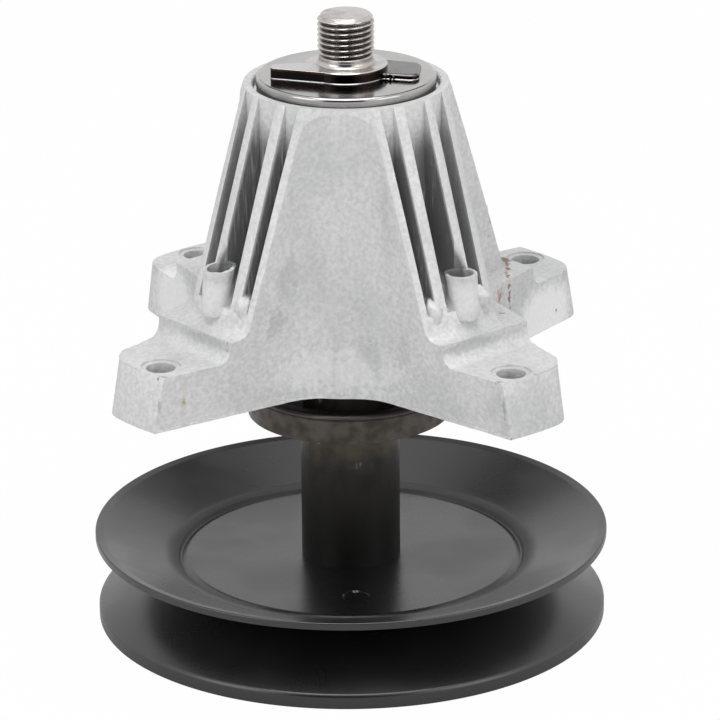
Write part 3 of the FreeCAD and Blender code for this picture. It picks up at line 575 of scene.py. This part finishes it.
# shaft: turned body, cut thread, blade seat and its two wings
shaft = {
    "segments": 96, "thread": 7.14, "depth": 0.865, "pitch": 1.411, "turnRings": 12, "runIn": 0.9,
    "rootWidth": 0.18, "flankWidth": 0.7, "threadFrom": 149.0, "end": 160.0,
    "chamfer": 1.4, "chamferIn": 1.1, "chamferBend": 1.4,
    "neck": 6.8, "neckRound": 1.4, "seat": 10.4, "seatFrom": 144.5, "seatTo": 147.3, "body": 10.0,
    "lowEnd": 1.0, "lowChamfer": 1.2, "drive": 8.4, "driveFlat": 6.9, "driveFrom": 12.3, "driveTo": 16.3,
    "edge": 0.22, "lip": 0.16, "lipTo": 0.05, "lipSlope": 0.16, "lowEdge": 0.85,
    "highWing": [(0, -10.4), (-18.5, -5.9, 1.0), (-18.5, -2.3, 1.0), (-10.4, -0.6), (0, 0)],
    "lowWing": [(0, -4.9), (10.4, -4.9), (18.6, -6.4, 2.2), (18.6, 5.6, 2.6), (0, 10.4)], "lowWingTo": 145.9,
    "torn": [(9.4, -5.2, 145.7, 0.5), (10.3, -5.0, 145.4, 0.55), (11.3, -5.2, 145.5, 0.45),
             (12.3, -5.3, 145.2, 0.4)],  # place and size of each burr
    "tornSize": 0.8, "tornSwing": 0.9, "tornGrain": 1.7,
}


def threadRadius(turn, height):
    phase = (height / shaft["pitch"] - turn) % 1
    flank = min(max((abs(phase - 0.5) * 2 - shaft["rootWidth"]) / shaft["flankWidth"], 0), 1)
    cut = shaft["thread"] - shaft["depth"] * (1 - flank)
    run = min(max((height - shaft["threadFrom"]) / shaft["runIn"], 0), 1)
    past = max(height - (shaft["end"] - shaft["chamfer"]), 0) / shaft["chamfer"]
    end = shaft["thread"] - shaft["chamferIn"] * past ** shaft["chamferBend"]
    return min(shaft["neck"] + (cut - shaft["neck"]) * run, end)


def grown(points, by):  # an outline moved outward by one distance
    area = sum(a.x * b.y - b.x * a.y for a, b in zip(points, points[1:] + points[:1]))
    turned = []
    for i, here in enumerate(points):
        before = (here - points[i - 1]).normalized()
        after = (points[(i + 1) % len(points)] - here).normalized()
        way = Vector((before.y + after.y, -before.x - after.x)).normalized() * math.copysign(1, area)
        turned.append(here + way * by / max(way.dot(Vector((before.y, -before.x)) * math.copysign(1, area)), 0.5))
    return turned


def addPrism(bm, outline, low, high, edge):  # a wing with a thin lip at its foot and a rounded top edge
    corners = rounded(outline)
    lip, step, slope = shaft["lip"], shaft["lipTo"], shaft["lipSlope"]
    profile = [(lip, low), (lip, low + step), (0, low + step + slope)]
    profile += arc((-edge, high - edge), edge, 0, 90, 4)
    last = None
    for by, height in profile:
        ring = [bm.verts.new((p.x * mm, p.y * mm, height * mm)) for p in grown(corners, by)]
        if last:
            bridge(bm, last, ring)
        else:
            bm.faces.new(ring)
        last = ring
    bm.faces.new(last)


def makeShaft():
    bm = bmesh.new()
    top, neckEdge, edge = shaft["seatTo"], shaft["neck"] + shaft["neckRound"], shaft["edge"]
    lip, lipTo = shaft["lip"], shaft["seatFrom"] + shaft["lipTo"]
    plain = [(shaft["thread"] - shaft["lowChamfer"], shaft["lowEnd"]),
             (shaft["thread"], shaft["lowEnd"] + shaft["lowChamfer"]), (shaft["thread"], shaft["driveFrom"]),
             (shaft["drive"], shaft["driveFrom"]), (shaft["drive"], shaft["driveTo"]),
             (shaft["body"], shaft["driveTo"]), (shaft["body"], shaft["seatFrom"]),
             (shaft["seat"] + lip, shaft["seatFrom"]),
             (shaft["seat"] + lip, lipTo), (shaft["seat"], lipTo + shaft["lipSlope"]), (shaft["seat"], top - edge),
             (shaft["seat"] - edge, top)]
    plain += arc((neckEdge, top + shaft["neckRound"]), shaft["neckRound"], 270, 180, 8)
    levels = [shaft["threadFrom"]]
    while levels[-1] < shaft["end"] - 0.01:
        levels.append(min(levels[-1] + shaft["pitch"] / shaft["turnRings"], shaft["end"]))
    rings = []
    segments = shaft["segments"]
    around = [2 * math.pi * i / segments for i in range(segments)]
    for reach, height in plain:  # two flats drive the pulley
        flat = shaft["driveFlat"] if reach == shaft["drive"] else reach
        rings.append([(min(reach, flat / max(abs(math.cos(turn)), 0.01)), height) for turn in around])
    for height in levels:
        rings.append([(threadRadius(i / segments, height), height) for i in range(segments)])
    last = None
    for ring in rings:
        verts = [bm.verts.new((reach * math.cos(turn) * mm, reach * math.sin(turn) * mm, height * mm))
                 for turn, (reach, height) in zip(around, ring)]
        if last:
            bridge(bm, last, verts)
        else:
            bm.faces.new(verts)
        last = verts
    bm.faces.new(last)
    addPrism(bm, shaft["highWing"], shaft["seatFrom"], top - 0.01, edge)
    addPrism(bm, shaft["lowWing"], shaft["seatFrom"], shaft["lowWingTo"], shaft["lowEdge"])
    for x, y, z, size in shaft["torn"]:  # torn burrs where the low wing leaves the flange
        middle = Vector((x, y, z))
        for vert in bmesh.ops.create_icosphere(bm, subdivisions=1, radius=size * mm)["verts"]:
            way = vert.co.normalized()
            vert.co *= shaft["tornSize"] + shaft["tornSwing"] * noise.noise(way * shaft["tornGrain"] + middle)
            vert.co += middle * mm
    piece = addPiece("threadedShaft", toMesh(bm, "threadedShaft"), "rotor", "shaft_steel", 40)
    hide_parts("spindle_shaft")


makeShaft()
print("shaft and thread built")


# pulley: both pressed halves turned finely, with the crease of the upper bend and its shallow dimple
pulley = {
    "segments": 480, "bore": 8.46, "flat": 6.92,
    "dimple": (3.4, -29.8), "dimpleReach": 3.5, "dimpleSoft": 0.3, "dimpleDepth": 0.42,
    "dimpleRings": (25.8, 34.2, 0.35),  # from, to, spacing
    # sections of the sheet as radius, height and corner radius
    "upper": [(8.46, 15.5), (42.4, 15.5, 2.0), (44.1, 14.6, 0.45), (44.8, 15.95, 0.9), (47.6, 16.52, 3.0),
              (63.8, 22.905, 4.0), (66.0, 23.413, 0.35), (66.0, 21.413, 0.35), (63.8, 20.905, 4.0),
              (45.0, 13.5, 3.5), (8.46, 13.5)],
    "lower": [(8.46, 13.5), (48.0, 13.5, 3.5), (65.5, 3.6, 1.3), (65.5, 0.0, 0.35), (63.5, 0.0, 0.35),
              (63.5, 2.44, 1.4), (47.47, 11.5, 3.5), (8.46, 11.5)],
}


def dimpleDrop(x, y):
    far = math.hypot(x - pulley["dimple"][0], y - pulley["dimple"][1])
    share = min(max((pulley["dimpleReach"] - far) / pulley["dimpleSoft"], 0), 1)
    return pulley["dimpleDepth"] * share * share * (3 - 2 * share)


def turnedHalf(name, node):
    points = [tuple(p) for p in rounded(pulley[name], 6)]
    if name == "upper":  # closer rings where the dimple lies
        low, high, step = pulley["dimpleRings"]
        level = pulley["upper"][0][1]
        points[1:1] = [(low + step * i, level) for i in range(int((high - low) / step) + 1)]
    bm = bmesh.new()
    rings = []
    for i in range(pulley["segments"]):
        turn = 2 * math.pi * i / pulley["segments"]
        ring = []
        for reach, height in points:
            if reach < pulley["bore"] + 0.1:  # two flats drive the pulley
                reach = min(reach, pulley["flat"] / max(abs(math.cos(turn)), 0.01))
            x, y = reach * math.cos(turn), reach * math.sin(turn)
            drop = dimpleDrop(x, y) if name == "upper" and height == pulley["upper"][0][1] else 0
            ring.append(bm.verts.new((x * mm, y * mm, (height - drop) * mm)))
        rings.append(ring)
    for first, second in zip(rings, rings[1:] + rings[:1]):
        bridge(bm, first, second)
    piece = addPiece(name + "PulleyHalf", toMesh(bm, name + "PulleyHalf"), "rotor", "pulley_paint", 40)
    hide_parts(node)


turnedHalf("upper", "pulley_upper_half")
turnedHalf("lower", "pulley_lower_half")
print("pulley halves turned")


# housing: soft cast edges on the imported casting, with flash left by the mould
housing = {"weld": 0.002, "facet": 0.5, "edge": 0.7, "edgeSteps": 3, "angle": 28, "hole": 43.2, "spotface": 6.0,
           "levelGap": 0.05, "seam": 0.02, "flashSwing": 1.6, "flashGrain": 0.45}


def softenHousing():
    piece = nodes["spindle_housing"]
    weld = piece.modifiers.new("joinSeams", "WELD")
    weld.merge_threshold = housing["weld"] * mm
    flat = piece.modifiers.new("joinFacets", "DECIMATE")
    flat.decimate_type = "DISSOLVE"
    flat.angle_limit = math.radians(housing["facet"])
    edge = piece.modifiers.new("castEdges", "BEVEL")
    edge.width = housing["edge"] * mm
    edge.segments = housing["edgeSteps"]
    edge.limit_method = "ANGLE"
    edge.angle_limit = math.radians(housing["angle"])
    edge.use_clamp_overlap = True


def levelEdges(level, facing):  # the rim of the housing's flat faces at one height: both ends and the way out
    mesh = nodes["spindle_housing"].data
    place = [tuple(round(c, 6) for c in vert.co) for vert in mesh.vertices]
    found = {}
    for face in mesh.polygons:
        if face.normal.z * facing < 0.99 or abs(face.center.z - level * mm) > housing["levelGap"] * mm:
            continue
        corners = [place[i] for i in face.vertices]
        for a, b in zip(corners, corners[1:] + corners[:1]):
            found.setdefault(frozenset((a, b)), []).append((a, b, face.center.copy()))
    for uses in found.values():
        if len(uses) == 1:
            a, b, middle = uses[0]
            a, b = Vector(a), Vector(b)
            out = (b - a).cross(Vector((0, 0, 1))).normalized()
            if out.dot((a + b) / 2 - middle) < 0:
                out.negate()
            yield a, b, out


flashes = {
    # name: level, facing, x range, y range, section as (outward, upward), how ragged, spacing
    "skirtLip": (68.0, -1, (-40, 40), (-48, -20), [(-0.3, 0.7), (0.35, 0.6), (0.4, 0.05), (-0.3, 0.0)], 0.35, 0.8),
    "rightEarFlash": (81.6, 1, (40, 60), (-48, -20), [(-0.5, 0.0), (0.16, 0.14), (0.0, -0.6)], 0.8, 0.5),
    "leftEarFlash": (81.6, 1, (-60, -40), (-46, -20), [(-0.5, 0.0), (0.14, 0.12), (0.0, -0.6)], 0.8, 0.5),
}


def makeFlash(name):
    level, facing, xRange, yRange, section, ragged, spacing = flashes[name]
    bm = bmesh.new()
    for a, b, out in levelEdges(level, facing):
        middle = (a + b) / 2 / mm
        clear = math.hypot(abs(middle.x) - housing["hole"], abs(middle.y) - housing["hole"]) > housing["spotface"]
        if not (clear and xRange[0] < middle.x < xRange[1] and yRange[0] < middle.y < yRange[1]):
            continue
        count = max(1, round((b - a).length / (spacing * mm)))
        last = None
        for i in range(count + 1):
            point = a.lerp(b, i / count)
            grow = 1 + ragged * housing["flashSwing"] * noise.noise(point / mm * housing["flashGrain"])
            ring = [bm.verts.new(point + (out * d + Vector((0, 0, h))) * mm * (grow if d > 0 else 1))
                    for d, h in section]
            if last:
                bridge(bm, last, ring)
            last = ring
    bmesh.ops.remove_doubles(bm, verts=bm.verts, dist=housing["seam"] * mm)
    addPiece(name, toMesh(bm, name), "housing", "cast_aluminium", 50)


bossRim = {"place": (-29.98, -26.3), "top": 101.2, "outer": 4.1, "wall": 0.95, "thin": 0.6, "low": 0.1, "rise": 1.2,
           "highSide": 30, "highBend": 1.4, "lean": 0.12, "sink": 0.4, "segments": 72, "ragged": 0.2}


def makeBossRim():  # the torn, slanting rim of the left front boss
    bm = bmesh.new()
    rings = []
    for i in range(bossRim["segments"]):
        turn = 2 * math.pi * i / bossRim["segments"]
        way = Vector((math.cos(turn), math.sin(turn), 0))
        high = (0.5 + 0.5 * math.cos(turn - math.radians(bossRim["highSide"]))) ** bossRim["highBend"]
        rise = bossRim["low"] + bossRim["rise"] * high + bossRim["ragged"] * noise.noise(way * 2.3)
        outer, inner = bossRim["outer"], bossRim["outer"] - bossRim["wall"]
        lean, foot = bossRim["lean"] * high, -bossRim["sink"]
        section = [(outer, foot), (outer + lean, rise * 0.8), (inner + bossRim["thin"] + lean, rise),
                   (inner + lean, rise * 0.9), (inner, foot)]
        base = Vector((*bossRim["place"], bossRim["top"]))
        rings.append([bm.verts.new((base + way * d + Vector((0, 0, h))) * mm) for d, h in section])
    for first, second in zip(rings, rings[1:] + rings[:1]):
        bridge(bm, first, second)
    addPiece("tornBossRim", toMesh(bm, "tornBossRim"), "housing", "cast_aluminium", 50)


bosses = {"place": (29.98, 26.3), "lean": (1.13, 0.99), "segments": 64,
          # radius, height and share of the lean, from the bottom of the blind hole to the foot
          "profile": [(3.0, 98.3, 0.24), (3.05, 100.9, 0.02), (3.25, 101.22, 0), (4.0, 101.25, 0),
                      (4.13, 101.0, 0.02), (3.75, 95.5, 0.5), (3.35, 90.1, 0.98), (3.0, 89.7, 1.0)]}


def makeBosses():  # the bosses stand clear of the ribs and lean a little outward at the foot
    bm = bmesh.new()
    around = [2 * math.pi * i / bosses["segments"] for i in range(bosses["segments"])]
    for sideX, sideY in ((-1, -1), (1, -1), (1, 1), (-1, 1)):
        last = None
        for reach, height, share in bosses["profile"]:
            x = sideX * (bosses["place"][0] + bosses["lean"][0] * share)
            y = sideY * (bosses["place"][1] + bosses["lean"][1] * share)
            spots = [(x + reach * math.cos(turn), y + reach * math.sin(turn), height) for turn in around]
            ring = [bm.verts.new((a * mm, b * mm, c * mm)) for a, b, c in spots]
            if last:
                bridge(bm, last, ring)
            else:
                bm.faces.new(ring)
            last = ring
        bm.faces.new(last)
    addPiece("castBosses", toMesh(bm, "castBosses"), "housing", "cast_aluminium", 50)


lumps = {"places": [(-22.5, -31.3, 92.0), (22.5, -31.3, 92.0), (33.6, -20.6, 91.6)],
         "size": (3.0, 3.7, 4.7), "rough": 0.2, "swell": 1.6, "grain": 6, "grainShare": 0.4}


def makeLumps():  # cast lumps that fill the lower ends of the slots
    bm = bmesh.new()
    wide, deep, tall = lumps["size"]
    for x, y, z in lumps["places"]:
        middle = Vector((x, y, z))
        away = Vector((x, y, 0)).normalized()
        across = Vector((-away.y, away.x, 0))
        for vert in bmesh.ops.create_icosphere(bm, subdivisions=4, radius=1)["verts"]:
            way = vert.co.copy()
            grain = lumps["grainShare"] * noise.noise(way * lumps["grain"])
            grow = 1 + lumps["rough"] * (noise.noise(way * lumps["swell"] + middle) + grain)
            vert.co = (middle + across * way.x * wide * grow + away * way.y * deep * grow
                       + Vector((0, 0, way.z * tall * grow))) * mm
    addPiece("slotEndLumps", toMesh(bm, "slotEndLumps"), "housing", "cast_aluminium", 60)


softenHousing()
for flash in flashes:
    makeFlash(flash)
makeBosses()
makeBossRim()
makeLumps()
print("housing dressed")


# studio
studio = {
    "distance": 1.1428, "height": 0.4863, "turn": 4.5, "pitch": 20.10, "yaw": 0.138, "roll": 0.568,
    "lens": 238.32, "sensor": 36, "fill": 0.62,
    "floorReach": 4, "floorGlow": 0.98, "floorTone": 0.65, "mirrorGlow": 0.2, "cardTone": 0.03,
    # dark cards: place, size
    "cards": {
        "roomBehindCamera": ((0.05, -1.5, 0.75), (1.5, 1.6)),
        "highBackdrop": ((0, 1.3, 1.45), (1.8, 0.9)),
    },
    # soft boxes: place, aim, size, power, whether metal mirrors them
    "lamps": {
        "leftBox": ((-1.2, -0.9, 0.9), (0, 0, 0.08), (0.9, 1.2), 5.0, True),
        "rightBox": ((1.3, -0.7, 0.8), (0, 0, 0.08), (0.9, 1.2), 4.1, True),
        "topBox": ((0.0, -0.2, 1.6), (0, 0, 0.08), (1.2, 1.2), 13, True),
        "frontBox": ((0.1, -1.6, 0.45), (0, 0, 0.09), (1.2, 0.7), 3.9, False),
    },
}


def makeCamera():
    pitch, yaw, roll, turn = (math.radians(studio[k]) for k in ("pitch", "yaw", "roll", "turn"))
    forward = Vector((math.sin(yaw) * math.cos(pitch), math.cos(yaw) * math.cos(pitch), -math.sin(pitch)))
    right = Vector((math.cos(yaw), -math.sin(yaw), 0))
    up = right.cross(forward)
    localX = right * math.cos(roll) - up * math.sin(roll)
    localY = right * math.sin(roll) + up * math.cos(roll)
    axes = Matrix((localX, localY, -forward)).transposed().to_4x4()
    camera = bpy.data.objects.new("camera", bpy.data.cameras.new("camera"))
    camera.data.lens = studio["lens"]
    camera.data.sensor_width = studio["sensor"]
    camera.matrix_world = (Matrix.Rotation(turn, 4, "Z")
                           @ Matrix.Translation((0, -studio["distance"], studio["height"])) @ axes)
    bpy.context.scene.collection.objects.link(camera)
    bpy.context.scene.camera = camera


def seenDirectly(tree):  # 1 for what the eye, a mirror or glass shows
    path = addNode(tree, "LightPath")
    most = mathNode(tree, "MAXIMUM", path.outputs["Is Camera Ray"], path.outputs["Is Glossy Ray"])
    return mathNode(tree, "MAXIMUM", most, path.outputs["Is Transmission Ray"])


def makeWorld():
    world = bpy.data.worlds.new("studio")
    bpy.context.scene.world = world
    world.use_nodes = True
    tree = world.node_tree
    back = tree.nodes["Background"]
    back.inputs["Color"].default_value = (1, 1, 1, 1)
    join(tree, spread(tree, seenDirectly(tree), 0.0, 1.0, studio["fill"], 1.0), back.inputs["Strength"])


def makeFloor():
    mesh = bpy.data.meshes.new("floor")
    far = studio["floorReach"]
    mesh.from_pydata([(-far, -far, 0), (far, -far, 0), (far, far, 0), (-far, far, 0)], [], [(0, 1, 2, 3)])
    floor = bpy.data.objects.new("floor", mesh)
    bpy.context.scene.collection.objects.link(floor)
    material, tree, shader = startMaterial("paleFloor", 0.0, 0.9)
    glow = addNode(tree, "Emission")
    blend = addNode(tree, "MixShader")
    shader.inputs["Base Color"].default_value = (studio["floorTone"],) * 3 + (1,)
    path = addNode(tree, "LightPath")
    seen = times(tree, path.outputs["Is Camera Ray"], studio["floorGlow"])
    mirrored = times(tree, seenDirectly(tree), studio["mirrorGlow"])  # metal shows the pale floor with its shadow
    join(tree, mathNode(tree, "MAXIMUM", seen, mirrored), blend.inputs[0])
    join(tree, shader.outputs[0], blend.inputs[1])
    join(tree, glow.outputs[0], blend.inputs[2])
    join(tree, blend.outputs[0], tree.nodes["Material Output"].inputs["Surface"])
    mesh.materials.append(material)


def makeCard(name, place, size):  # a dark card that only reflections see
    wide, tall = size[0] / 2, size[1] / 2
    mesh = bpy.data.meshes.new(name)
    mesh.from_pydata([(-wide, 0, -tall), (wide, 0, -tall), (wide, 0, tall), (-wide, 0, tall)], [], [(0, 1, 2, 3)])
    card = bpy.data.objects.new(name, mesh)
    card.location = place
    material, tree, shader = startMaterial("darkCard", 0.0, 1.0)
    shader.inputs["Base Color"].default_value = (studio["cardTone"],) * 3 + (1,)
    mesh.materials.append(material)
    bpy.context.scene.collection.objects.link(card)
    card.visible_camera = False
    card.visible_diffuse = False
    card.visible_shadow = False


def makeLamp(name, place, aim, size, power, mirrored):
    lamp = bpy.data.lights.new(name, "AREA")
    lamp.shape = "RECTANGLE"
    lamp.size, lamp.size_y = size
    lamp.energy = power
    item = bpy.data.objects.new(name, lamp)
    item.location = place
    item.visible_glossy = mirrored
    item.rotation_euler = (Vector(aim) - Vector(place)).to_track_quat("-Z", "Y").to_euler()
    bpy.context.scene.collection.objects.link(item)


makeCamera()
makeWorld()
makeFloor()
for cardName, card in studio["cards"].items():
    makeCard(cardName, *card)
for lampName, lamp in studio["lamps"].items():
    makeLamp(lampName, *lamp)
bpy.context.scene.view_settings.view_transform = "Standard"
print("studio ready")

bpy.context.view_layer.update()
